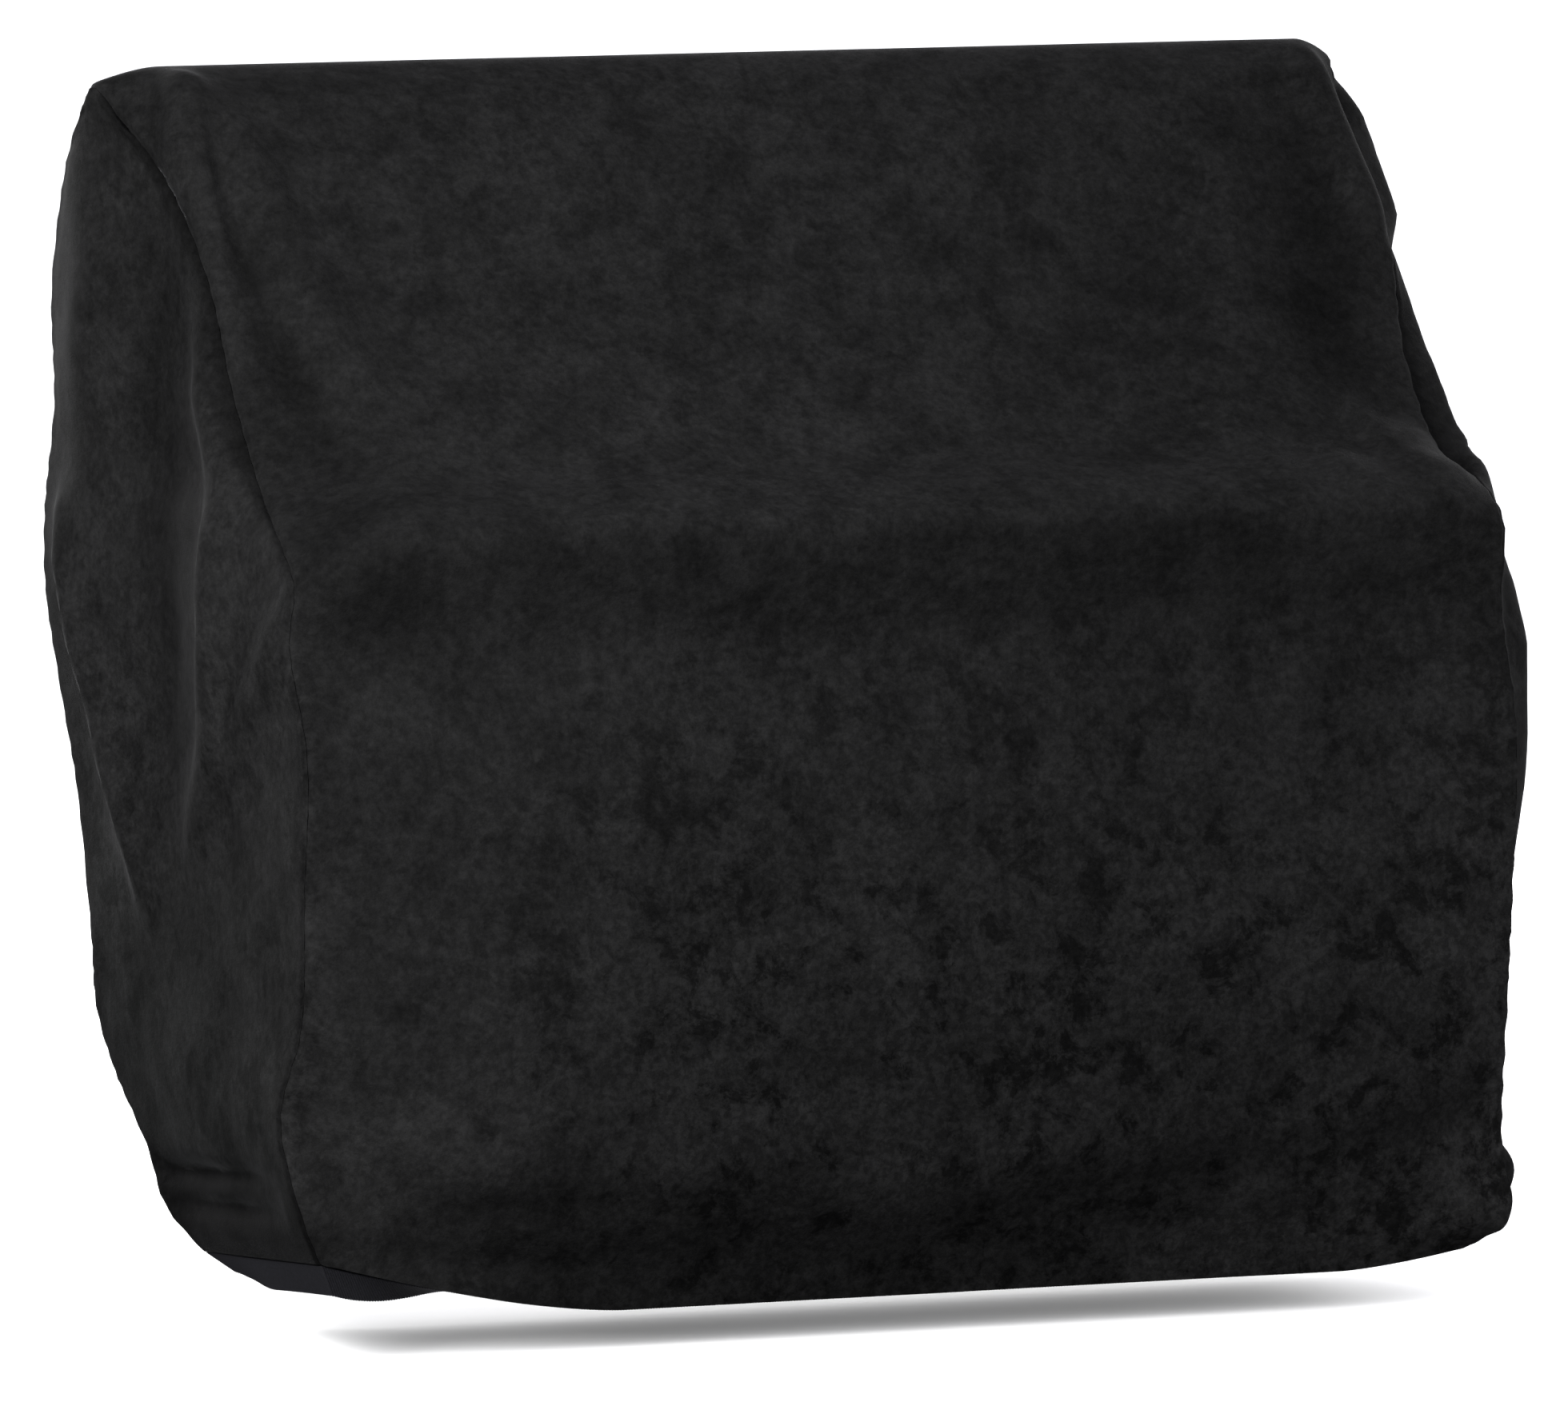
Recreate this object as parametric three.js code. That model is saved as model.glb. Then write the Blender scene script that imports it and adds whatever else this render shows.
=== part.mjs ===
// Fitted velour cover, hollow and open below, in the shape in which it hangs over what it covers.
// Millimetres: +X to the right seen from the front, +Y to the back, +Z up from the front hem.
import * as THREE from 'three';

// Driving sizes
const CLOTH_THICKNESS = 2;
const SEAM_GAP = 1.3;
const MITRE_LIMIT = 0.6;
const SEAM_FADE = 9;
const RIDGE_FADE = 22;
const HEM_FADE = 7;
const EASE_POWER = 1.5;
const RIDGE_SPREAD_POWER = 3;
const BAND_THICKNESS = 1;
const BAND_WIDTH = 14;
const BAND_GAP = 2;

// Mesh steps
const STRIP_COLUMNS = 28;
const COLUMN_CROWDING = 0.7;
const RIDGE_STEPS = 18;

// Finishes
const VELOUR = new THREE.MeshStandardMaterial({ color: 0x1d1d1e, roughness: 0.95, metalness: 0 });
const ELASTIC = new THREE.MeshStandardMaterial({ color: 0x17171c, roughness: 0.8, metalness: 0 });

// Stations along the strip, from the front hem over the ridge to the back hem.
// mid is the strip's middle, left and right are its two seams, leftFlat and rightFlat are how far
// from the middle the cloth lies flat, and steps is the number of mesh steps to the next station.
const STATION_COLUMNS = [
  'name', 'midY', 'midZ', 'leftX', 'leftY', 'leftZ', 'rightX', 'rightY', 'rightZ',
  'leftFlat', 'rightFlat', 'steps',
];
const STATIONS = table(STATION_COLUMNS, [
  ['front_hem', 17, 1, -232, 12, 25, 230, 12, 9, 110, 180, 2],
  ['front_tuck', 13, 17, -239, 8, 39, 241, 2, 18, 120, 190, 4],
  ['front_low', -3, 42, -246, 14, 72, 240, 5, 48, 150, 195, 4],
  ['skirt', -7, 92, -242, 3, 114, 241, 3, 100, 190, 205, 2],
  ['middle', -4, 152, -241, 2, 163, 242, 0, 152, 200, 205, 2],
  ['upper', 3, 212, -241, 0, 217, 243, 0, 212, 200, 205, 2],
  ['under_ledge', 13, 251, -243, 13, 252, 241, 8, 250, 200, 212, 2],
  ['nose', 4, 295, -241, 17, 280, 242, 12, 288, 195, 216, 2],
  ['ledge', 18, 303, -240, 32, 290, 241, 24, 296, 190, 215, 2],
  ['slope_foot', 45, 312, -236, 64, 305, 238, 53, 304, 182, 205, 3],
  ['slope_low', 83, 344, -236, 97, 340, 238, 92, 339, 190, 208, 2],
  ['slope_mid', 117, 386, -237, 124, 382, 245, 128, 383, 224, 232, 3],
  ['slope_high', 150, 430, -242, 164, 420, 248, 188, 424, 233, 228, 3],
  ['ridge_front', 171, 450, -251, 178, 436, 248, 190, 434, 231, 229, 9],
  ['ridge', 190, 456, -259, 190, 450, 250, 199, 448, 232, 232, 9],
  ['ridge_back', 210, 451, -258, 205, 440, 251, 211, 438, 232, 236, 3],
  ['back_high', 222, 430, -257, 226, 422, 252, 224, 420, 230, 232, 3],
  ['back_a', 228, 385, -257, 247, 372, 253, 238, 372, 222, 222, 3],
  ['back_b', 232, 335, -257, 245, 327, 254, 242, 327, 215, 215, 4],
  ['back_c', 236, 285, -258, 254, 284, 255, 245, 284, 208, 208, 4],
  ['back_full', 238, 245, -256, 259, 253, 254, 246, 250, 204, 204, 2],
  ['back_d', 236, 205, -251, 256, 214, 252, 243, 212, 200, 200, 2],
  ['back_e', 231, 165, -248, 245, 175, 250, 236, 172, 196, 196, 2],
  ['back_f', 224, 128, -247, 233, 124, 247, 227, 128, 196, 196, 2],
  ['back_g', 212, 98, -246, 231, 98, 244, 216, 98, 192, 192, 2],
  ['back_taper', 192, 66, -243, 218, 74, 240, 199, 70, 186, 186, 2],
  ['back_low', 168, 36, -240, 190, 49, 237, 179, 44, 180, 180, 2],
  ['back_tuck', 148, 12, -235, 173, 22, 233, 161, 20, 172, 172, 2],
  ['back_hem', 136, 4, -228, 157, 11, 226, 147, 10, 165, 165, 0],
]);

// Folds: ridges and, with a height below zero, troughs of one width along a path.
// On the strip a path's points are [x, z, height], and on a side panel they are [y, z, height].
const FOLD_COLUMNS = ['width', 'path'];
const FRONT_FOLDS = table(FOLD_COLUMNS, [
  [16, [[-228, 452, 2], [-208, 404, 2.5], [-195, 370, 2.5], [-180, 331, 1]]],
  [9, [[-228, 452, 3.5], [-216, 431, 4], [-208, 404, 3.5], [-199, 371, 3], [-188, 335, 1]]],
  [7, [[-230, 450, 6], [-237, 421, 8], [-238, 400, 5], [-236, 380, 2]]],
  [10, [[-226, 420, -2], [-224, 390, -4], [-214, 350, -4], [-204, 320, -1.5]]],
  [8, [[229, 450, 5], [232, 423, 6], [238, 393, 5], [240, 379, 3]]],
  [24, [[212, 425, -5], [212, 385, -7], [206, 345, -6]]],
  [7, [[203, 324, 3], [211, 312, 3.5], [231, 308, 4]]],
  [8, [[178, 316, 2.5], [192, 294, 2]]],
  [10, [[-232, 258, 3], [-214, 236, 1]]],
  [9, [[-208, 39, -3.5], [-150, 43, -3], [-60, 42, -1]]],
  [7, [[-230, 30, -3.5], [-190, 25, -3], [-143, 19, -1.5]]],
  [12, [[30, 36, -2], [120, 43, -4], [190, 52, -5], [226, 60, -5]]],
  [10, [[150, 14, 1], [200, 18, 3], [226, 22, 5]]],
]);
const BACK_FOLDS = table(FOLD_COLUMNS, [
  [22, [[-216, 428, -5], [-205, 300, -4], [-192, 190, -2]]],
  [22, [[214, 424, -5], [202, 290, -4], [196, 200, -2]]],
  [14, [[-150, 60, -3], [-140, 22, -3.5]]],
  [15, [[-52, 70, -3], [-60, 18, -3.5]]],
  [14, [[42, 58, -3], [50, 18, -3.5]]],
  [15, [[138, 66, -3], [128, 20, -3.5]]],
]);
const LEFT_FOLDS = table(FOLD_COLUMNS, [
  [12, [[116, 372, 4], [110, 340, 7], [84, 298, 8], [80, 253, 8], [93, 206, 6], [112, 176, 3]]],
  [25, [[158, 412, -3], [164, 380, -5], [160, 340, -6], [144, 298, -5], [138, 253, -5], [148, 206, -4]]],
  [30, [[200, 410, 6], [200, 370, 9], [202, 330, 7.5], [207, 302, 3]]],
  [26, [[212, 292, 3], [210, 270, 5.5], [200, 240, 6], [182, 195, 6], [168, 160, 4]]],
  [9, [[222, 285, 3], [218, 270, 5], [209, 240, 6], [188, 195, 6], [170, 159, 4], [164, 142, 1]]],
  [10, [[18, 262, 3.5], [43, 238, 3.5], [76, 208, 2]]],
  [7, [[44, 311, 2], [64, 300, 1]]],
  [7, [[169, 40, -3], [110, 46, -3.5], [48, 52, -2]]],
  [7, [[140, 30, -3], [90, 35, -3], [50, 39, -2]]],
]);
const RIGHT_FOLDS = table(FOLD_COLUMNS, [
  [14, [[204, 436, 24], [203, 420, 19], [197, 409, 18], [187, 388, 21], [172, 374, 14]]],
  [18, [[150, 370, 8], [134, 360, 10], [98, 336, 14], [70, 311, 16], [54, 301, 9]]],
  [18, [[40, 276, 6], [37, 258, 14], [33, 236, 17], [30, 200, 15], [28, 170, 11], [26, 140, 6]]],
  [12, [[20, 36, 10], [66, 30, 5]]],
  [30, [[150, 330, -6], [132, 230, -4], [124, 130, -2]]],
  [22, [[216, 376, 5], [206, 256, 4.5], [190, 140, 4]]],
  [7, [[136, 52, -3.5], [60, 64, -2.5]]],
  [7, [[138, 32, -3], [76, 42, -2.5]]],
]);

// Elastic band: how far it slopes down on its way in, in degrees, and the line its run turns about
const BAND_TILT = { front: 2, back: 28, left: 58, right: 14 };
const BAND_TURN = {
  sideX: 150, middleY: 78, backY: 140, startX: 175, endX: 230, startY: 90, endY: 165,
};

const { clamp, degToRad, lerp, smoothstep } = THREE.MathUtils;

function table(columns, rows) {
  return rows.map((row) => Object.fromEntries(columns.map((name, k) => [name, row[k]])));
}

// Cloth length from the front hem to each station, along the strip's middle
const KNOTS = STATIONS.reduce((sums, row, i) => {
  const last = STATIONS[Math.max(i - 1, 0)];
  sums.push((sums[i - 1] ?? 0) + Math.hypot(row.midY - last.midY, row.midZ - last.midZ));
  return sums;
}, []);
const SHAPE_COLUMNS = STATION_COLUMNS.slice(1, -1);
const RIDGE = STATIONS.findIndex((row) => row.name === 'ridge');

// Slope of one column at a station: the chords on both sides, weighted by each other's length
function stationSlope(column, i) {
  const chord = (k) => (STATIONS[k + 1][column] - STATIONS[k][column]) / (KNOTS[k + 1] - KNOTS[k]);
  if (i === 0) return chord(0);
  if (i === STATIONS.length - 1) return chord(i - 1);
  const before = KNOTS[i] - KNOTS[i - 1];
  const after = KNOTS[i + 1] - KNOTS[i];
  return (chord(i - 1) * after + chord(i) * before) / (before + after);
}

// All shape columns at cloth length s, on a smooth curve through the stations
function stationAt(s) {
  const above = KNOTS.findIndex((knot) => knot > s);
  const i = above < 0 ? STATIONS.length - 2 : above - 1;
  const length = KNOTS[i + 1] - KNOTS[i];
  const t = (s - KNOTS[i]) / length;
  const row = {};
  for (const column of SHAPE_COLUMNS) {
    row[column] = (1 + 2 * t) * (1 - t) ** 2 * STATIONS[i][column]
      + t * (1 - t) ** 2 * length * stationSlope(column, i)
      + t * t * (3 - 2 * t) * STATIONS[i + 1][column]
      + t * t * (t - 1) * length * stationSlope(column, i + 1);
  }
  return row;
}

// Point of the strip in row, a stationAt row, at u: -1 at the left seam, 1 at the right one
function stripPoint(row, u) {
  const x = u < 0 ? -u * row.leftX : u * row.rightX;
  const toLeft = clamp((-x - row.leftFlat) / (-row.leftX - row.leftFlat), 0, 1) ** EASE_POWER;
  const toRight = clamp((x - row.rightFlat) / (row.rightX - row.rightFlat), 0, 1) ** EASE_POWER;
  const y = row.midY + (row.leftY - row.midY) * toLeft + (row.rightY - row.midY) * toRight;
  const z = row.midZ + (row.leftZ - row.midZ) * toLeft + (row.rightZ - row.midZ) * toRight;
  return new THREE.Vector3(x, y, z);
}

// Distance from [a, z] to a fold's path, and the fold's height at the path's nearest point
function nearestOnPath(path, a, z) {
  let nearest = { distance: Infinity, height: 0 };
  for (let k = 0; k + 1 < path.length; k++) {
    const [a0, z0, height0] = path[k];
    const [da, dz] = [path[k + 1][0] - a0, path[k + 1][1] - z0];
    const t = clamp(((a - a0) * da + (z - z0) * dz) / (da * da + dz * dz), 0, 1);
    const distance = Math.hypot(a - a0 - t * da, z - z0 - t * dz);
    if (distance < nearest.distance) nearest = { distance, height: lerp(height0, path[k + 1][2], t) };
  }
  return nearest;
}

function foldHeight(folds, a, z) {
  return folds.reduce((sum, fold) => {
    const { distance, height } = nearestOnPath(fold.path, a, z);
    return sum + height * Math.exp(-((distance / fold.width) ** 2));
  }, 0);
}

// 0 on a sewn edge and 1 well inside it, level at the edge
const fadeIn = (distance, length) => 1 - Math.exp(-((distance / length) ** 2));

// Normals of a grid of points, an edge taking the normal one step in from it;
// side is 1 where columns cross rows to point out, and -1 otherwise
function gridNormals(grid, side) {
  const inside = (k, count) => clamp(k, 1, count - 2);
  return grid.map((line, i) => line.map((_, j) => {
    const row = inside(i, grid.length);
    const column = inside(j, line.length);
    const along = grid[row + 1][column].clone().sub(grid[row - 1][column]);
    const across = grid[row][column + 1].clone().sub(grid[row][column - 1]);
    return across.cross(along).multiplyScalar(side).normalize();
  }));
}

// A grid moved along its normals by height(i, j)
function raised(grid, side, height) {
  const normals = gridNormals(grid, side);
  return grid.map((line, i) => line.map((p, j) => p.clone().addScaledVector(normals[i][j], height(i, j))));
}

// Cloth lengths of the mesh rows
const ROW_LENGTHS = STATIONS.flatMap((row, i) => Array.from(
  { length: row.steps }, (_, k) => lerp(KNOTS[i], KNOTS[i + 1], k / row.steps),
)).concat(KNOTS.at(-1));
const ROWS = ROW_LENGTHS.map(stationAt);
const FRONT_STEPS = (ROW_LENGTHS.length - 1 - RIDGE_STEPS) / 2;

// The strip, its columns crowded towards the seams where its folds are
function stripGrid() {
  const columns = Array.from({ length: STRIP_COLUMNS + 1 }, (_, j) => {
    const t = 2 * j / STRIP_COLUMNS - 1;
    return t + COLUMN_CROWDING * Math.sin(Math.PI * t) / Math.PI;
  });
  const base = ROWS.map((row) => columns.map((u) => stripPoint(row, u)));
  return raised(base, 1, (i, j) => {
    const { x, z } = base[i][j];
    const folds = ROW_LENGTHS[i] < KNOTS[RIDGE] ? FRONT_FOLDS : BACK_FOLDS;
    const fromSeam = Math.min(...[0, -1].map((edge) => base[i].at(edge).distanceTo(base[i][j])));
    const fromRidge = Math.abs(ROW_LENGTHS[i] - KNOTS[RIDGE]);
    const fromHem = Math.min(ROW_LENGTHS[i], KNOTS.at(-1) - ROW_LENGTHS[i]);
    return foldHeight(folds, x, z) * fadeIn(fromSeam, SEAM_FADE) * fadeIn(fromRidge, RIDGE_FADE)
      * fadeIn(fromHem, HEM_FADE);
  });
}

// A side panel between its seams: rows from the hem up to the ridge, columns from front to back
function sideGrid(seam, folds, side) {
  const front = seam.slice(0, FRONT_STEPS + 1);
  const ridge = seam.slice(FRONT_STEPS, FRONT_STEPS + RIDGE_STEPS + 1);
  const back = seam.slice(FRONT_STEPS + RIDGE_STEPS).reverse();
  const base = front.map((from, i) => ridge.map((peak, j) => {
    const w = j / RIDGE_STEPS;
    const rise = (i / FRONT_STEPS) ** RIDGE_SPREAD_POWER;
    const chord = front.at(-1).clone().lerp(back.at(-1), w);
    return from.clone().lerp(back[i], w).addScaledVector(peak.clone().sub(chord), rise);
  }));
  return raised(base, side, (i, j) => {
    const { y, z } = base[i][j];
    const width = front[i].distanceTo(back[i]);
    const fromSeam = Math.min(j, RIDGE_STEPS - j) / RIDGE_STEPS * width;
    const fromRidge = ridge[j].distanceTo(base[i][j]);
    const fromHem = base[0][j].distanceTo(base[i][j]);
    return foldHeight(folds, y, z) * fadeIn(fromSeam, SEAM_FADE) * fadeIn(fromRidge, RIDGE_FADE)
      * fadeIn(fromHem, HEM_FADE);
  });
}

// Both faces of a cloth whose middle is a grid
function clothFaces(grid, side) {
  const normals = gridNormals(grid, side);
  const half = CLOTH_THICKNESS / 2;
  const offset = (d) => raised(grid, side, () => d);
  return { grid, normals, side, outer: offset(half), inner: offset(-half) };
}

// Mesh places [row, column] of a side panel's sewn edge, in the order of the strip's rows
function sewnEdge() {
  const places = [];
  for (let i = 0; i < FRONT_STEPS; i++) places.push([i, 0]);
  for (let j = 0; j <= RIDGE_STEPS; j++) places.push([FRONT_STEPS, j]);
  for (let i = FRONT_STEPS - 1; i >= 0; i--) places.push([i, RIDGE_STEPS]);
  return places;
}

// Mitres the strip's edge in column and a side panel's edge where they are sewn, a small gap apart
function sew(strip, column, panel) {
  const edge = sewnEdge();
  edge.forEach(([i, j], r) => {
    const seam = strip.grid[r][column];
    const before = strip.grid[Math.max(r - 1, 0)][column];
    const after = strip.grid[Math.min(r + 1, edge.length - 1)][column];
    const out = strip.normals[r][column].clone().add(panel.normals[i][j]).normalize();
    const reach = CLOTH_THICKNESS / 2 / Math.max(out.dot(strip.normals[r][column]), MITRE_LIMIT);
    const across = after.clone().sub(before).cross(out).normalize();
    const inPanel = panel.grid[Math.max(i - 1, 0)][RIDGE_STEPS / 2];
    const apart = across.multiplyScalar(Math.sign(inPanel.clone().sub(seam).dot(across)) * SEAM_GAP / 2);
    for (const [faces, reachOut] of [['outer', reach], ['inner', -reach]]) {
      strip[faces][r][column] = seam.clone().addScaledVector(out, reachOut).sub(apart);
      panel[faces][i][j] = seam.clone().addScaledVector(out, reachOut).add(apart);
    }
  });
}

// Triangles of a closed quad mesh, each quad cut along its shorter diagonal, turned round where side is -1
function quadGeometry(points, quads, side) {
  const geometry = new THREE.BufferGeometry();
  geometry.setFromPoints(points);
  geometry.setIndex(quads.flatMap((quad) => {
    const [a, b, c, d] = side > 0 ? quad : [...quad].reverse();
    const cutFromA = points[a].distanceTo(points[c]) < points[b].distanceTo(points[d]);
    return cutFromA ? [a, b, c, a, c, d] : [a, b, d, b, c, d];
  }));
  geometry.computeVertexNormals();
  return geometry;
}

// A cloth as one closed body: its outer face, its inner face and the rim between them
function clothGeometry({ outer, inner, side }) {
  const [rows, columns] = [outer.length, outer[0].length];
  const out = (i, j) => i * columns + j;
  const back = (i, j) => rows * columns + out(i, j);
  const quads = [];
  for (let i = 0; i + 1 < rows; i++) {
    for (let j = 0; j + 1 < columns; j++) {
      quads.push([out(i, j), out(i, j + 1), out(i + 1, j + 1), out(i + 1, j)]);
      quads.push([back(i, j), back(i + 1, j), back(i + 1, j + 1), back(i, j + 1)]);
    }
  }
  const rim = [];
  for (let j = 0; j + 1 < columns; j++) rim.push([0, j]);
  for (let i = 0; i + 1 < rows; i++) rim.push([i, columns - 1]);
  for (let j = columns - 1; j > 0; j--) rim.push([rows - 1, j]);
  for (let i = rows - 1; i > 0; i--) rim.push([i, 0]);
  rim.forEach((place, k) => {
    const next = rim[(k + 1) % rim.length];
    quads.push([out(...place), back(...place), back(...next), out(...next)]);
  });
  return quadGeometry([...outer.flat(), ...inner.flat()], quads, side);
}

// Which way the band runs from the hem at a point: in towards the middle, and down by the tilt there
function bandDirection({ x, y }) {
  const { sideX, middleY, backY, startX, endX, startY, endY } = BAND_TURN;
  const inward = new THREE.Vector3(clamp(x, -sideX, sideX) - x, middleY - y, 0).normalize();
  const frontToBack = lerp(BAND_TILT.front, BAND_TILT.back, clamp(y / backY, 0, 1));
  const beforeBack = 1 - smoothstep(y, startY, endY);
  const withLeft = lerp(frontToBack, BAND_TILT.left, smoothstep(-x, startX, endX) * beforeBack);
  const withBoth = lerp(withLeft, BAND_TILT.right, smoothstep(x, startX, endX) * beforeBack);
  const tilt = degToRad(withBoth);
  return inward.multiplyScalar(Math.cos(tilt)).setZ(-Math.sin(tilt));
}

// The elastic band: a closed ring that goes on inward from the hem, just clear of the cloth's edge
function bandGeometry(strip, left, right) {
  const runs = [strip.grid[0], right.grid[0], [...strip.grid.at(-1)].reverse(), [...left.grid[0]].reverse()];
  const hem = runs.flatMap((run) => run.slice(0, -1));
  const sections = hem.map((point, k) => {
    const next = hem[(k + 1) % hem.length];
    const last = hem.at(k - 1);
    const inward = bandDirection(point);
    const out = inward.clone().cross(next.clone().sub(last)).normalize();
    const corner = (run, side) => point.clone().addScaledVector(inward, run)
      .addScaledVector(out, side * BAND_THICKNESS / 2);
    const end = BAND_GAP + BAND_WIDTH;
    return [corner(BAND_GAP, 1), corner(end, 1), corner(end, -1), corner(BAND_GAP, -1)];
  });
  const sides = sections[0].length;
  const quads = sections.flatMap((section, k) => section.map((_, c) => {
    const here = k * sides;
    const there = (k + 1) % sections.length * sides;
    const after = (c + 1) % sides;
    return [here + c, here + after, there + after, there + c];
  }));
  return quadGeometry(sections.flat(), quads, 1);
}

// The four pieces, with the origin under the middle of the ridge
const strip = clothFaces(stripGrid(), 1);
const seamAt = (column) => strip.grid.map((line) => line.at(column));
const left = clothFaces(sideGrid(seamAt(0), LEFT_FOLDS, -1), -1);
const right = clothFaces(sideGrid(seamAt(-1), RIGHT_FOLDS, 1), 1);
sew(strip, 0, left);
sew(strip, STRIP_COLUMNS, right);

const cover = new THREE.Group();
cover.position.set(0, -STATIONS[RIDGE].midY, CLOTH_THICKNESS / 2 - STATIONS[RIDGE].midZ);
for (const [name, geometry, material] of [
  ['main_panel', clothGeometry(strip), VELOUR],
  ['side_panel_left', clothGeometry(left), VELOUR],
  ['side_panel_right', clothGeometry(right), VELOUR],
  ['hem_elastic', bandGeometry(strip, left, right), ELASTIC],
]) {
  const mesh = new THREE.Mesh(geometry, material);
  mesh.name = name;
  cover.add(mesh);
}

export default cover;
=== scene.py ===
# Looks of the fitted velour cover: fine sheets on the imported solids, materials, light and camera.
# The cover's own frame is in millimetres: x to the right, y to the back, z up from the front hem.
import math

import bpy
import numpy as np
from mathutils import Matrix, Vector


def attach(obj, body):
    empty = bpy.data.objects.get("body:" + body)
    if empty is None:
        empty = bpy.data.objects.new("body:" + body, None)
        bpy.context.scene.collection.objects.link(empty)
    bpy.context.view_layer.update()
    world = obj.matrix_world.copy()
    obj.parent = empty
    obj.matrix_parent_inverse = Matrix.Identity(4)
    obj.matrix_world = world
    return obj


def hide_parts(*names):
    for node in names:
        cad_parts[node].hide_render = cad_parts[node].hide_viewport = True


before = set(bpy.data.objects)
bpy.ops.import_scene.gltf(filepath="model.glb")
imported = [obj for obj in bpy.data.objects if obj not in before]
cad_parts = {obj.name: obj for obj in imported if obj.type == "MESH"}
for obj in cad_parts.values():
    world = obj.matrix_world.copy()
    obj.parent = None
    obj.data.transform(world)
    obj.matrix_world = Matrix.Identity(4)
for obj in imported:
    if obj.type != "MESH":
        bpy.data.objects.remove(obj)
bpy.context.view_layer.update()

# Driving sizes of the cloth, millimetres
MM = 0.001
ORIGIN = np.array([0.0, 190.0, 455.0])
HALF_CLOTH = 1.0
SEAM_GAP = 0.2
SEAM_FADE = 9.0
RIDGE_FADE = 22.0
HEM_FADE = 7.0
EASE_POWER = 1.5
RIDGE_SPREAD_POWER = 3
TINY = 1e-9

# Mesh steps
STRIP_ROWS = 300
STRIP_COLUMNS = 148
SIDE_ROWS = 150
SIDE_COLUMNS = 84
SEAM_SAMPLES = 240
RIDGE_SAMPLES = 40
HEM_SAMPLES = 241
SEAM_STEPS = (0.98, 0.99, 1.0)
COLUMN_CROWDING = 0.8
SHARP_ANGLE = 55.0

# Stations along the strip, from the front hem over the ridge to the back hem: its middle, its two
# seams, how far from the middle it lies flat, and its share of a side panel's rows to the next station
STATION_COLUMNS = (
    "mid_y", "mid_z", "left_x", "left_y", "left_z", "right_x", "right_y", "right_z",
    "left_flat", "right_flat", "steps",
)
STATIONS = {
    "front_hem": (17, 1, -232, 12, 25, 230, 12, 9, 110, 180, 2),
    "front_tuck": (13, 17, -239, 8, 39, 241, 2, 18, 120, 190, 4),
    "front_low": (-3, 42, -246, 14, 72, 240, 5, 48, 150, 195, 4),
    "skirt": (-7, 92, -242, 3, 114, 241, 3, 100, 190, 205, 2),
    "middle": (-4, 152, -241, 2, 163, 242, 0, 152, 200, 205, 2),
    "upper": (3, 212, -241, 0, 217, 243, 0, 212, 200, 205, 2),
    "under_ledge": (13, 251, -243, 13, 252, 241, 8, 250, 200, 212, 2),
    "nose": (4, 295, -241, 17, 280, 242, 12, 288, 195, 216, 2),
    "ledge": (18, 303, -240, 32, 290, 241, 24, 296, 190, 215, 2),
    "slope_foot": (45, 312, -236, 64, 305, 238, 53, 304, 182, 205, 3),
    "slope_low": (83, 344, -236, 97, 340, 238, 92, 339, 190, 208, 2),
    "slope_mid": (117, 386, -237, 124, 382, 245, 128, 383, 224, 232, 3),
    "slope_high": (150, 430, -242, 164, 420, 248, 188, 424, 233, 228, 3),
    "ridge_front": (171, 450, -251, 178, 436, 248, 190, 434, 231, 229, 9),
    "ridge": (190, 456, -259, 190, 450, 250, 199, 448, 232, 232, 9),
    "ridge_back": (210, 451, -258, 205, 440, 251, 211, 438, 232, 236, 3),
    "back_high": (222, 430, -257, 226, 422, 252, 224, 420, 230, 232, 3),
    "back_a": (228, 385, -257, 247, 372, 253, 238, 372, 222, 222, 3),
    "back_b": (232, 335, -257, 245, 327, 254, 242, 327, 215, 215, 4),
    "back_c": (236, 285, -258, 254, 284, 255, 245, 284, 208, 208, 4),
    "back_full": (238, 245, -256, 259, 253, 254, 246, 250, 204, 204, 2),
    "back_d": (236, 205, -251, 256, 214, 252, 243, 212, 200, 200, 2),
    "back_e": (231, 165, -248, 245, 175, 250, 236, 172, 196, 196, 2),
    "back_f": (224, 128, -247, 233, 124, 247, 227, 128, 196, 196, 2),
    "back_g": (212, 98, -246, 231, 98, 244, 216, 98, 192, 192, 2),
    "back_taper": (192, 66, -243, 218, 74, 240, 199, 70, 186, 186, 2),
    "back_low": (168, 36, -240, 190, 49, 237, 179, 44, 180, 180, 2),
    "back_tuck": (148, 12, -235, 173, 22, 233, 161, 20, 172, 172, 2),
    "back_hem": (136, 4, -228, 157, 11, 226, 147, 10, 165, 165, 0),
}

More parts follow.
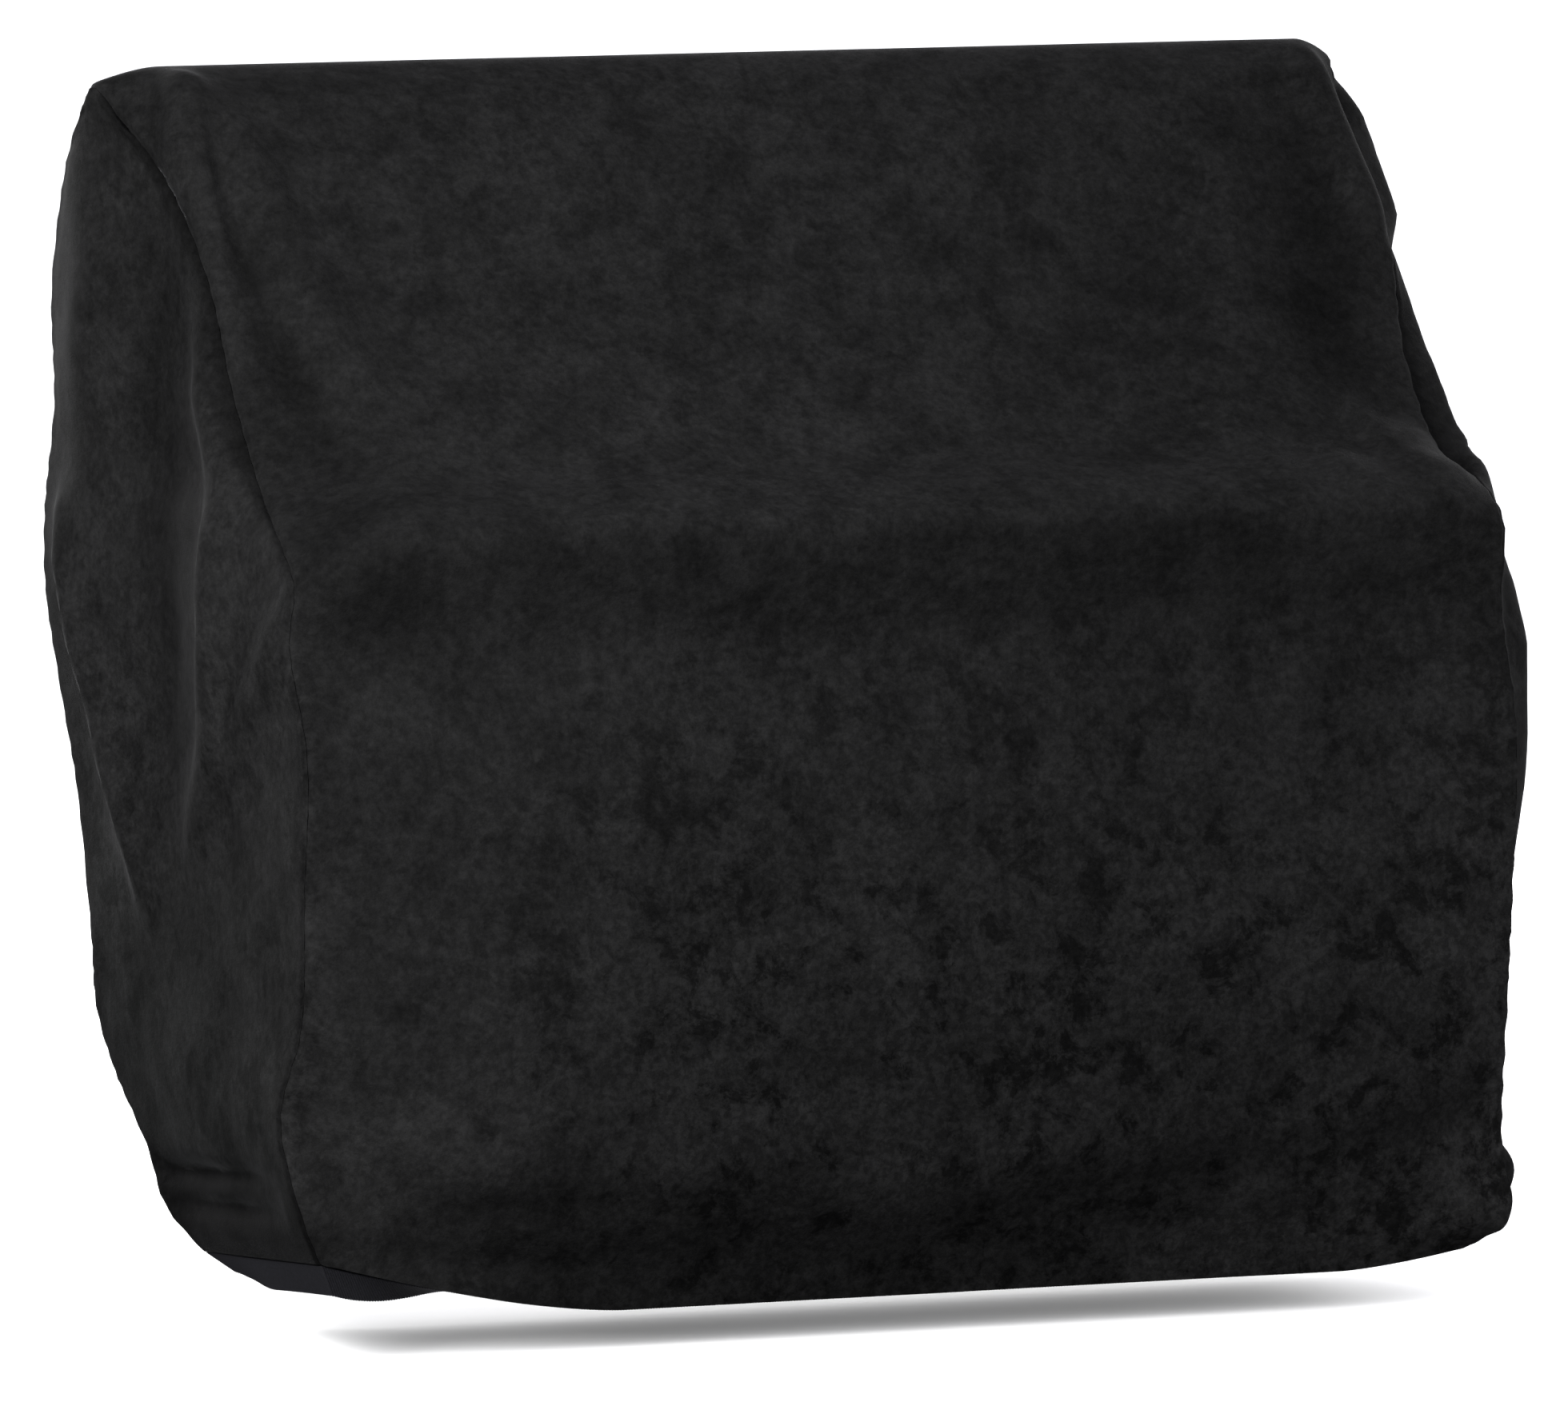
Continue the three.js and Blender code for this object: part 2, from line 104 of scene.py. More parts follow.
# Folds: a width, then the path's points, each with the fold's height there, below zero for a trough.
# A point is (x, z, height) on the strip and (y, z, height) on a side panel.
FRONT_FOLDS = (
    (16, ((-228, 452, 2), (-208, 404, 2.5), (-195, 370, 2.5), (-180, 331, 1))),
    (9, ((-228, 452, 3.5), (-216, 431, 4), (-208, 404, 3.5), (-199, 371, 3), (-188, 335, 1))),
    (7, ((-230, 450, 6), (-237, 421, 8), (-238, 400, 5), (-236, 380, 2))),
    (10, ((-226, 420, -2), (-224, 390, -4), (-214, 350, -4), (-204, 320, -1.5))),
    (8, ((229, 450, 5), (232, 423, 6), (238, 393, 5), (240, 379, 3))),
    (24, ((212, 425, -5), (212, 385, -7), (206, 345, -6))),
    (7, ((203, 324, 3), (211, 312, 3.5), (231, 308, 4))),
    (8, ((178, 316, 2.5), (192, 294, 2))),
    (6, ((149, 322, 1.5), (155, 312, 2.5), (162, 288, 1.5))),
    (10, ((-232, 258, 3), (-214, 236, 1))),
    (9, ((-190, 40, -1.5), (-165, 42, -3.5), (-120, 43, -2.5), (-60, 42, -1))),
    (7, ((-210, 28, -1), (-182, 24, -3), (-143, 19, -1.5))),
    (12, ((30, 36, -2), (120, 43, -4), (190, 52, -5), (226, 60, -5))),
    (10, ((150, 14, 1), (200, 18, 3), (226, 22, 5))),
)
BACK_FOLDS = (
    (22, ((-216, 428, -5), (-205, 300, -4), (-192, 190, -2))),
    (22, ((214, 424, -5), (202, 290, -4), (196, 200, -2))),
    (14, ((-150, 60, -3), (-140, 22, -3.5))),
    (15, ((-52, 70, -3), (-60, 18, -3.5))),
    (14, ((42, 58, -3), (50, 18, -3.5))),
    (15, ((138, 66, -3), (128, 20, -3.5))),
)
LEFT_FOLDS = (
    (12, ((116, 372, 4), (110, 340, 7), (84, 298, 8), (80, 253, 8), (93, 206, 6), (112, 176, 3))),
    (25, ((158, 412, -3), (164, 380, -5), (160, 340, -6), (144, 298, -5), (138, 253, -5), (148, 206, -4))),
    (30, ((200, 410, 6), (200, 370, 9), (202, 330, 7.5), (207, 302, 3))),
    (26, ((212, 292, 3), (210, 270, 5.5), (200, 240, 6), (182, 195, 6), (168, 160, 4))),
    (9, ((222, 285, 3), (218, 270, 5), (209, 240, 6), (188, 195, 6), (170, 159, 4), (164, 142, 1))),
    (10, ((18, 262, 3.5), (43, 238, 3.5), (76, 208, 2))),
    (7, ((44, 311, 2), (64, 300, 1))),
    (5, ((184, 40, -4), (169, 40, -5), (110, 46, -6), (64, 51, -3), (26, 55, 0))),
    (6, ((170, 27, -3), (140, 30, -4.5), (90, 35, -5.5), (62, 38, -3.5), (24, 43, 0))),
)
RIGHT_FOLDS = (
    (14, ((204, 436, 24), (203, 420, 19), (197, 409, 18), (187, 388, 21), (172, 374, 14))),
    (18, ((150, 370, 8), (134, 360, 10), (98, 336, 14), (70, 311, 16), (54, 301, 9))),
    (18, ((40, 276, 6), (37, 258, 14), (33, 236, 17), (30, 200, 15), (28, 170, 11), (26, 140, 6))),
    (12, ((20, 36, 10), (66, 30, 5))),
    (30, ((150, 330, -6), (132, 230, -4), (124, 130, -2))),
    (22, ((216, 376, 5), (206, 256, 4.5), (190, 140, 4))),
    (7, ((136, 52, -3.5), (60, 64, -2.5))),
    (7, ((138, 32, -3), (76, 42, -2.5))),
)

# Sewing: the seam is drawn in by its stitches and puckers a little along its run
SEAM_DIP = 2.0
LOW_DIP_SHARE = 0.4
SEAM_DIP_WIDTH = 2.2
PUCKER_HEIGHT = 0.35
PUCKER_PITCH = 13.0
PUCKER_REACH = 10.0
PUCKER_DRIFT = 1.4
PUCKER_DRIFT_PITCHES = 4.7
MITRE_REACH = 1.25
MITRE_FADE = 4.0

# Unevenness of the hanging cloth: wavelength across, wavelength along, height
WAVES = ((151, 113, 0.45), (83, 67, 0.3), (47, 53, 0.16))
WAVE_TURN = 1.7
WAVE_BEND = 1.3
WAVE_PHASE = {"front": 0.4, "back": 2.1, "left": 3.3, "right": 5.2}

# Painted shade, darker colour where shade falls: in the hollows of the folds, along the hem, low down
# and beside the front seams of the side panels; less of it along the strip's hem and at its left corner
DEEP_HOLLOW = 8.0
PAINTED_HEM_SHADE = 0.95
PAINTED_HEM_SHADE_WIDTH = 28.0
PAINTED_SEAM_SHADE = 1.0
LOW_SEAM_SHARE = 0.2
PAINTED_SEAM_SHADE_WIDTH = 9.0
PAINTED_SEAM_SHADE_LOW = 270.0
PAINTED_SEAM_SHADE_FULL = 320.0
PAINTED_LOW_SHADE = 0.4
PAINTED_LOW_SHADE_FULL = 110.0
PAINTED_LOW_SHADE_END = 230.0
PAINTED_FRONT_SHADE = 0.25
PAINTED_FRONT_SHADE_FULL = 70.0
PAINTED_FRONT_SHADE_END = 150.0
CORNER_SHARE = 0.2
STRIP_HEM_SHARE = 0.5
CORNER_LEFT = -205.0
CORNER_RIGHT = -105.0

# Broad patches, darker, or lighter where the amount is below zero, partly nap and partly painted light and
# painted shade: the middle, x and z on the strip or y and z on a side panel, then the reach across, the
# reach up and the amount
MOST_LIGHTENED = -0.5
FRONT_NAP_AND_LIGHT = (
    # Painted light: the right margin and the right hem lighter where light falls on them
    (238, 95, 36, 105, -0.5),
    (190, 15, 110, 42, -0.9),
    (-215, 62, 40, 62, -0.5),
    (120, 250, 90, 34, 0.15),
    (-20, 440, 90, 28, -0.25),
    (-60, 318, 60, 26, -0.3),
    (135, 405, 55, 60, 0.15),
    (-218, 302, 30, 42, 0.5),
    # Painted shade: the narrow dark line just under the nose
    (20, 287, 240, 7, 0.3),
    (150, 340, 50, 30, 0.2),
)
LEFT_NAP_AND_LIGHT = (
    (202, 155, 26, 30, -0.8),
    (92, 232, 25, 36, -0.5),
    (192, 235, 40, 55, -0.45),
    (95, 125, 36, 40, 0.15),
    (185, 82, 40, 30, 0.15),
)

# Elastic band
BAND_GAP = 1.3
BAND_WIDTH = 14.0
BAND_HALF = 0.5
BAND_TILT = {"front": 2.0, "back": 28.0, "left": 58.0, "right": 14.0}
BAND_TURN = {
    "side_x": 150.0, "middle_y": 78.0, "back_y": 140.0,
    "start_x": 175.0, "end_x": 230.0, "start_y": 90.0, "end_y": 165.0,
}
RIB_PITCH = 1.1
RIB_HEIGHT = 0.16
SAMPLES_A_RIB = 4
BAND_STEPS = 4


# Shape of the strip
TABLE = np.array([row[:-1] for row in STATIONS.values()], float)
STEPS = np.array([row[-1] for row in STATIONS.values()][:-1], float)
NAMES = list(STATIONS)
KNOTS = np.concatenate([[0.0], np.cumsum(np.hypot(*np.diff(TABLE[:, :2], axis=0).T))])
MIDDLE = NAMES.index("middle")
NOSE = NAMES.index("nose")
RIDGE = NAMES.index("ridge")
RIDGE_FRONT = NAMES.index("ridge_front")
RIDGE_BACK = NAMES.index("ridge_back")
LAST = len(NAMES) - 1


def station_slopes():
    """Slope of each column at each station, from the chords on both sides."""
    gaps = np.diff(KNOTS)[:, None]
    chords = np.diff(TABLE, axis=0) / gaps
    inner = (chords[:-1] * gaps[1:] + chords[1:] * gaps[:-1]) / (gaps[:-1] + gaps[1:])
    return np.vstack([chords[:1], inner, chords[-1:]])


SLOPES = station_slopes()


def stations_at(lengths):
    """The shape columns at cloth lengths from the front hem, on a smooth curve through the stations."""
    lengths = np.asarray(lengths, float)
    i = np.clip(np.searchsorted(KNOTS, lengths, side="right") - 1, 0, LAST - 1)
    gap = (KNOTS[i + 1] - KNOTS[i])[:, None]
    t = (lengths - KNOTS[i])[:, None] / gap
    return (
        (1 + 2 * t) * (1 - t) ** 2 * TABLE[i]
        + t * (1 - t) ** 2 * gap * SLOPES[i]
        + t * t * (3 - 2 * t) * TABLE[i + 1]
        + t * t * (t - 1) * gap * SLOPES[i + 1]
    )


def strip_points(lengths, across):
    """Grid of the strip's middle, rows at cloth lengths, columns from -1, left seam, to 1, right seam."""
    at = dict(zip(STATION_COLUMNS, stations_at(lengths).T[..., None]))
    u = np.asarray(across, float)[None, :]
    x = np.where(u < 0, -u * at["left_x"], u * at["right_x"])
    to_left = np.clip((-x - at["left_flat"]) / (-at["left_x"] - at["left_flat"]), 0, 1) ** EASE_POWER
    to_right = np.clip((x - at["right_flat"]) / (at["right_x"] - at["right_flat"]), 0, 1) ** EASE_POWER
    y, z = (
        at["mid_" + axis]
        + (at["left_" + axis] - at["mid_" + axis]) * to_left
        + (at["right_" + axis] - at["mid_" + axis]) * to_right
        for axis in "yz"
    )
    return np.stack([x, y, z], -1)


def fade_in(distance, length):
    """0 on a sewn edge and 1 well inside it, level at the edge."""
    return 1 - np.exp(-((distance / length) ** 2))


def smooth_step(value, low, high):
    """0 up to low and 1 from high on, level at both."""
    t = np.clip((value - low) / (high - low), 0, 1)
    return t * t * (3 - 2 * t)


def fold_heights(folds, a, z):
    """Sum of the folds' heights at points a, z."""
    total = np.zeros_like(a)
    for width, path in folds:
        nearest = np.full_like(a, np.inf)
        height = np.zeros_like(a)
        for (a0, z0, h0), (a1, z1, h1) in zip(path, path[1:]):
            da, dz = a1 - a0, z1 - z0
            t = np.clip(((a - a0) * da + (z - z0) * dz) / (da * da + dz * dz), 0, 1)
            distance = np.hypot(a - a0 - t * da, z - z0 - t * dz)
            closer = distance < nearest
            nearest = np.where(closer, distance, nearest)
            height = np.where(closer, h0 + (h1 - h0) * t, height)
        total += height * np.exp(-((nearest / width) ** 2))
    return total


def waves(a, z, phase):
    """Gentle unevenness of cloth at points a, z."""
    total = np.zeros_like(a)
    for k, (across, along, height) in enumerate(WAVES):
        turn = phase + WAVE_TURN * k
        bend = WAVE_BEND * np.sin(2 * np.pi * z / along + 2 * turn)
        total += height * np.sin(2 * np.pi * a / across + turn + bend)
    return total


def unit(vectors):
    return vectors / np.maximum(np.linalg.norm(vectors, axis=-1, keepdims=True), TINY)


def grid_normals(grid, side):
    """Normals of a grid, an edge taking the one a step in; side turns them out, 1 or -1."""
    along = grid[2:, 1:-1] - grid[:-2, 1:-1]
    across = grid[1:-1, 2:] - grid[1:-1, :-2]
    return np.pad(unit(side * np.cross(across, along)), ((1, 1), (1, 1), (0, 0)), mode="edge")


def crowded(steps):
    """Places from -1 to 1, closer together towards both ends."""
    t = np.linspace(-1, 1, steps + 1)
    return t + COLUMN_CROWDING * np.sin(np.pi * t) / np.pi


# Side panels between their seams
FRONT_COUNT = np.concatenate([[0], np.cumsum(STEPS[:RIDGE_FRONT])])
BACK_COUNT = np.concatenate([[0], np.cumsum(STEPS[RIDGE_BACK:][::-1])])
SIDE_STEPS = FRONT_COUNT[-1]


def seam_lengths(rows, columns):
    """Cloth lengths of a side panel's front, ridge and back edges, for rows and columns from 0 to 1."""
    front = np.interp(rows * SIDE_STEPS, FRONT_COUNT, KNOTS[: RIDGE_FRONT + 1])
    back = np.interp(rows * SIDE_STEPS, BACK_COUNT, KNOTS[RIDGE_BACK:][::-1])
    ridge = KNOTS[RIDGE_FRONT] + columns * (KNOTS[RIDGE_BACK] - KNOTS[RIDGE_FRONT])
    return front, ridge, back


def side_points(u, rows, columns):
    """Grid of a side panel's middle before its folds: rows from the hem up, columns from front to back."""
    front, ridge, back = (strip_points(s, [u])[:, 0] for s in seam_lengths(rows, columns))
    w = columns[None, :, None]
    rise = (rows ** RIDGE_SPREAD_POWER)[:, None, None]
    chord = front[-1] * (1 - w) + back[-1] * w
    return front[:, None] * (1 - w) + back[:, None] * w + rise * (ridge[None] - chord)


def seam_frame(u, side):
    """Along one seam: cloth lengths, the way out between both cloths and the way into the side panel."""
    rows = np.linspace(0, 1, SEAM_SAMPLES + 1)
    columns = np.linspace(0, 1, RIDGE_SAMPLES + 1)
    panel = side_points(u, rows, columns)
    panel_normals = grid_normals(panel, side)
    front, ridge, back = seam_lengths(rows, columns)
    lengths = np.concatenate([front[:-1], ridge, back[::-1][1:]])
    edge = np.concatenate([panel_normals[:-1, 0], panel_normals[-1], panel_normals[::-1][1:, -1]])
    near = strip_points(lengths, np.sort(u * np.array(SEAM_STEPS)))
    strip_edge = grid_normals(near, 1)[:, 1]
    out = unit(edge + strip_edge)
    seam = strip_points(lengths, [u])[:, 0]
    tangent = np.gradient(seam, axis=0)
    into = unit(np.cross(tangent, out))
    middle = panel[len(rows) // 2, len(columns) // 2]
    into *= np.sign(((middle - seam) * into).sum(-1, keepdims=True))
    return {"lengths": lengths, "out": out, "into": into}


def along_seam(seam, lengths, name):
    """One of a seam's directions at the cloth lengths asked for."""
    picked = [np.interp(lengths, seam["lengths"], seam[name][:, k]) for k in range(3)]
    return unit(np.stack(picked, -1))


def seam_pull(lengths, distance):
    """How far the stitches draw the cloth in, at a distance from the seam, least on the low front."""
    turn = 2 * np.pi * lengths / PUCKER_PITCH
    drift = PUCKER_DRIFT * np.sin(turn / PUCKER_DRIFT_PITCHES)
    pucker = PUCKER_HEIGHT * np.sin(turn + drift) * np.exp(-distance / PUCKER_REACH)
    share = LOW_DIP_SHARE + (1 - LOW_DIP_SHARE) * smooth_step(lengths, KNOTS[MIDDLE], KNOTS[NOSE])
    return pucker - SEAM_DIP * share * np.exp(-((distance / SEAM_DIP_WIDTH) ** 2))


def edge_faces(grid, normals, edges):
    """Outer and inner faces of a cloth; edges are its sewn edges, each with the seam's out and way in."""
    faces = []
    for sign in (1, -1):
        face = grid + sign * HALF_CLOTH * normals
        for place, distance, out, away in edges:
            target = grid[place] + sign * MITRE_REACH * HALF_CLOTH * out + SEAM_GAP / 2 * away
            shift = target - face[place]
            axis = 1 if place[0] == slice(None) else 0
            fade = np.exp(-((distance / MITRE_FADE) ** 2))[..., None]
            face = face + np.expand_dims(shift, axis) * fade
        faces.append(face)
    return faces


def painted_hollow_shade(height, from_hem, hem_share=1):
    """Painted shade, from 0 to 1, darker colour in the hollows of the folds and along the hem, where shade
    falls.
    """
    hollow = np.clip(-height / DEEP_HOLLOW, 0, 1)
    return hollow + PAINTED_HEM_SHADE * hem_share * np.exp(-((from_hem / PAINTED_HEM_SHADE_WIDTH) ** 2))


def nap_and_light_patches(patches, a, z):
    """How much broad patches darken, or below zero lighten, the colour at points a, z: partly nap, partly
    painted light and painted shade.
    """
    total = np.zeros_like(a)
    for middle_a, middle_z, reach_a, reach_z, press in patches:
        total += press * np.exp(-(((a - middle_a) / reach_a) ** 2) - ((z - middle_z) / reach_z) ** 2)
    return total


def cloth_mesh(name, outer, inner, side, nap_and_painted_shade):
    """A closed thin sheet of outer face, inner face and rim, with a value that darkens its colour: painted
    shade in the hollows, at the hem and beside seams, and patches of nap and painted light.
    """
    rows, columns = outer.shape[:2]
    index = np.arange(rows * columns).reshape(rows, columns)
    quads = np.stack([index[:-1, :-1], index[:-1, 1:], index[1:, 1:], index[1:, :-1]], -1).reshape(-1, 4)
    rim = np.concatenate([index[0, :-1], index[:-1, -1], index[-1, :0:-1], index[:0:-1, 0]])
    after = np.roll(rim, -1)
    below = rows * columns
    walls = np.stack([rim, rim + below, after + below, after], -1)
    faces = np.concatenate([quads, quads[:, ::-1] + below, walls])
    points = np.concatenate([outer.reshape(-1, 3), inner.reshape(-1, 3)])
    piece = mesh_object(name, points, faces[:, ::side])
    # Painted shade up to 1 and painted light below zero, with patches of nap, kept on the sheet for the
    # velour's colour
    values = np.clip(nap_and_painted_shade, MOST_LIGHTENED, 1).ravel()
    attribute = piece.data.attributes.new("nap_and_painted_shade", "FLOAT", "POINT")
    attribute.data.foreach_set("value", np.tile(values, 2))
    return piece


def mesh_object(name, points, faces):
    """A smooth-shaded mesh object from points in the cover's millimetres."""
    mesh = bpy.data.meshes.new(name)
    mesh.from_pydata(((points - ORIGIN) * MM).tolist(), [], faces.tolist())
    mesh.polygons.foreach_set("use_smooth", np.ones(len(mesh.polygons), bool))
    mesh.set_sharp_from_angle(angle=math.radians(SHARP_ANGLE))
    mesh.update()
    piece = bpy.data.objects.new(name, mesh)
    bpy.context.collection.objects.link(piece)
    return piece


def make_strip(seams):
    """The front, top and back in one length of cloth."""
    lengths = np.linspace(0, KNOTS[-1], STRIP_ROWS + 1)
    grid = strip_points(lengths, crowded(STRIP_COLUMNS))
    x, z = grid[..., 0], grid[..., 2]
    from_left = np.linalg.norm(grid - grid[:, :1], axis=-1)
    from_right = np.linalg.norm(grid - grid[:, -1:], axis=-1)
    at = lengths[:, None]
    front = fold_heights(FRONT_FOLDS, x, z) + waves(x, z, WAVE_PHASE["front"])
    back = fold_heights(BACK_FOLDS, x, z) + waves(x, z, WAVE_PHASE["back"])
    height = np.where(at < KNOTS[RIDGE], front, back)
    from_hem = np.minimum(at, KNOTS[-1] - at)
    height *= fade_in(np.minimum(from_left, from_right), SEAM_FADE) * fade_in(at - KNOTS[RIDGE], RIDGE_FADE)
    height *= fade_in(from_hem, HEM_FADE)
    grid = grid + height[..., None] * grid_normals(grid, 1)
    sewn = []
    for seam, distance, column in ((seams[-1], from_left, 0), (seams[1], from_right, -1)):
        out = along_seam(seam, lengths, "out")
        grid = grid + (seam_pull(at, distance)[..., None] * out[:, None])
        sewn.append(((slice(None), column), distance, out, -along_seam(seam, lengths, "into")))
    outer, inner = edge_faces(grid, grid_normals(grid, 1), sewn)
    # Painted shade: darker colour in the fold hollows, along the hem, less at the left corner, and low on
    # the front; the broad patches add nap and painted light
    past_corner = smooth_step(x, CORNER_LEFT, CORNER_RIGHT)
    low = past_corner * (1 - smooth_step(z, PAINTED_FRONT_SHADE_FULL, PAINTED_FRONT_SHADE_END))
    hem_share = CORNER_SHARE + (STRIP_HEM_SHARE - CORNER_SHARE) * past_corner
    nap_and_painted_shade = painted_hollow_shade(height, from_hem, hem_share) + PAINTED_FRONT_SHADE * low
    nap_and_painted_shade += np.where(at < KNOTS[RIDGE], nap_and_light_patches(FRONT_NAP_AND_LIGHT, x, z), 0)
    return cloth_mesh("main_panel_cloth", outer, inner, 1, nap_and_painted_shade)


def make_side(name, u, side, folds, seam, phase, nap=()):
    """One side panel; u is its place across the strip and side turns its normals out."""
    rows = np.linspace(0, 1, SIDE_ROWS + 1)
    columns = (crowded(SIDE_COLUMNS) + 1) / 2
    base = side_points(u, rows, columns)
    y, z = base[..., 1], base[..., 2]
    width = np.linalg.norm(base[:, -1] - base[:, 0], axis=-1)[:, None]
    from_front = columns * width
    from_back = (1 - columns) * width
    from_ridge = np.linalg.norm(base - base[-1:], axis=-1)
    from_hem = np.linalg.norm(base - base[:1], axis=-1)
    height = fold_heights(folds, y, z) + waves(y, z, phase)
    height *= fade_in(np.minimum(from_front, from_back), SEAM_FADE)
    height *= fade_in(from_ridge, RIDGE_FADE) * fade_in(from_hem, HEM_FADE)
    grid = base + height[..., None] * grid_normals(base, side)
    front, ridge, back = seam_lengths(rows, columns)
    sewn = []
    for lengths, distance, place in (
        (front, from_front, (slice(None), 0)),
        (back, from_back, (slice(None), -1)),
        (ridge, from_ridge, (-1, slice(None))),
    ):
        out = along_seam(seam, lengths, "out")
        along_rows = place[0] == slice(None)
        at = lengths[:, None] if along_rows else lengths[None]
        pull = seam_pull(at, distance)
        if not along_rows:
            pull = pull * fade_in(np.minimum(from_front, from_back), SEAM_DIP_WIDTH)
        grid = grid + pull[..., None] * (out[:, None] if along_rows else out[None])
        sewn.append((place, distance, out, along_seam(seam, lengths, "into")))
    outer, inner = edge_faces(grid, grid_normals(grid, side), sewn)
    # Painted shade: darker colour in the fold hollows, along the hem, beside the front seam and low down;
    # the broad patches given add nap and painted light
    beside_seam = np.exp(-((from_front / PAINTED_SEAM_SHADE_WIDTH) ** 2))
    beside_seam *= LOW_SEAM_SHARE + (1 - LOW_SEAM_SHARE) * smooth_step(z, PAINTED_SEAM_SHADE_LOW, PAINTED_SEAM_SHADE_FULL)
    low = 1 - smooth_step(z, PAINTED_LOW_SHADE_FULL, PAINTED_LOW_SHADE_END)
    nap_and_painted_shade = painted_hollow_shade(height, from_hem) + PAINTED_SEAM_SHADE * beside_seam + PAINTED_LOW_SHADE * low
    nap_and_painted_shade += nap_and_light_patches(nap, y, z)
    return cloth_mesh(name, outer, inner, side, nap_and_painted_shade)


# Elastic band
def band_direction(points):
    """Which way the band runs from the hem: in towards the middle, and down by the tilt there."""
    x, y = points[:, 0], points[:, 1]
    turn = BAND_TURN
    inward = np.stack([np.clip(x, -turn["side_x"], turn["side_x"]) - x, turn["middle_y"] - y, 0 * x], -1)
    tilt = BAND_TILT["front"] + (BAND_TILT["back"] - BAND_TILT["front"]) * np.clip(y / turn["back_y"], 0, 1)
    before_back = 1 - smooth_step(y, turn["start_y"], turn["end_y"])
    tilt += (BAND_TILT["left"] - tilt) * smooth_step(-x, turn["start_x"], turn["end_x"]) * before_back
    tilt += (BAND_TILT["right"] - tilt) * smooth_step(x, turn["start_x"], turn["end_x"]) * before_back
    tilt = np.radians(tilt)[:, None]
    return unit(inward) * np.cos(tilt) - np.array([0, 0, 1.0]) * np.sin(tilt)


def hem_line():
    """The hem round the cover, at even steps of a part of a rib."""
    across = np.linspace(-1, 1, HEM_SAMPLES)
    front = strip_points([0.0], across)[0]
    back = strip_points([KNOTS[-1]], -across)[0]
    corners = np.concatenate([front, back, front[:1]])
    run = np.concatenate([[0], np.cumsum(np.linalg.norm(np.diff(corners, axis=0), axis=1))])
    ribs = round(run[-1] / RIB_PITCH)
    places = np.linspace(0, run[-1], ribs * SAMPLES_A_RIB, endpoint=False)
    return np.stack([np.interp(places, run, corners[:, k]) for k in range(3)], -1)


def make_band():
    """The ribbed elastic, a closed ring that goes on inward from the hem."""
    hem = hem_line()
    inward = band_direction(hem)
    out = unit(np.cross(inward, np.roll(hem, -1, 0) - np.roll(hem, 1, 0)))
    count = len(hem)
    rib = RIB_HEIGHT * np.sin(2 * np.pi * np.arange(count) / SAMPLES_A_RIB)[:, None]
    runs = BAND_GAP + BAND_WIDTH * np.linspace(0, 1, BAND_STEPS + 1)
    section = [(run, 1) for run in runs] + [(run, -1) for run in runs[::-1]]
    rings = [hem + run * inward + sign * (BAND_HALF - RIB_HEIGHT + rib) * out for run, sign in section]
    points = np.stack(rings, 1)
    sides = len(section)
    index = np.arange(count * sides).reshape(count, sides)
    after, there = np.roll(index, -1, 1), np.roll(index, -1, 0)
    faces = np.stack([index, after, np.roll(there, -1, 1), there], -1).reshape(-1, 4)
    return mesh_object("hem_elastic_band", points.reshape(-1, 3), faces)


# Noises of the velour's nap: scale, detail, roughness and distortion
NAP_NOISE = {
    "blotches": (200.0, 9.0, 0.78, 0.2),
    "nap_and_painted_shade": (62.0, 10.0, 0.74, 0.3),
    "broad": (11.0, 3.0, 0.55, 0.0),
    "strokes": (330.0, 6.0, 0.7, 0.4),
    "soft": (32.0, 7.0, 0.7, 0.0),
    "pile": (1600.0, 2.0, 0.55, 0.0),
}

# Runs of the velour's values: from, to, and what a value becomes at each; places are in metres
NAP_SPANS = {
    "low": (-0.18, -0.34, 0.3, 1.0),
    "front": (-0.20, -0.08, 0.3, 1.0),
    "left_side": (-0.236, -0.246, 0.0, 0.5),
    "cluster": (0.3, 0.7, -0.05, 0.05),
    "fleck": (0.45, 0.425, 0.0, 0.52),
    "patch": (0.51, 0.475, 0.0, 0.24),
    "patch_share": (0.0, 1.0, 0.35, 1.0),
    "stroke": (0.44, 0.56, 0.76, 1.24),
    "stroke_share": (0.0, 1.0, 0.3, 1.0),
    "tone": (0.36, 0.64, 0.0051, 0.0101),
    "soft": (0.42, 0.58, 0.84, 1.12),
    "darkening": (0.0, 1.0, 1.0, 0.0),
    # Painted shade and painted light: the sheet's values turned into a colour factor
    "shade_and_nap_factor": (MOST_LIGHTENED, 1.0, 1.3, 0.4),
}
LEAN_BUMP = {"Strength": 0.2, "Distance": 0.0012}
FUZZ_BUMP = {"Strength": 0.5, "Distance": 0.0003}
VELOUR_SHADER = {
    "Roughness": 0.9,
    "Specular IOR Level": 0.02,
    "Sheen Weight": 0.04,
    "Sheen Roughness": 0.13,
    "Sheen Tint": (0.92, 0.93, 0.95, 1),
}

# Elastic: the noise of its threads, their colours and their relief
THREAD_NOISE = (900.0, 2.0, 0.55, 0.0)
THREAD_COLOURS = ((0.35, (0.0022, 0.0022, 0.0034)), (0.65, (0.0046, 0.0046, 0.0066)))
WEAVE_BUMP = {"Strength": 0.4, "Distance": 0.0002}
ELASTIC_SHADER = {"Roughness": 0.7, "Specular IOR Level": 0.2}


# Materials
def input_socket(made, key):
    """A node's input by its name, with _ for a space, or by its number, written as in _0."""
    name = key.replace("_", " ")
    return made.inputs[int(name)] if name.strip().isdigit() else made.inputs[name]


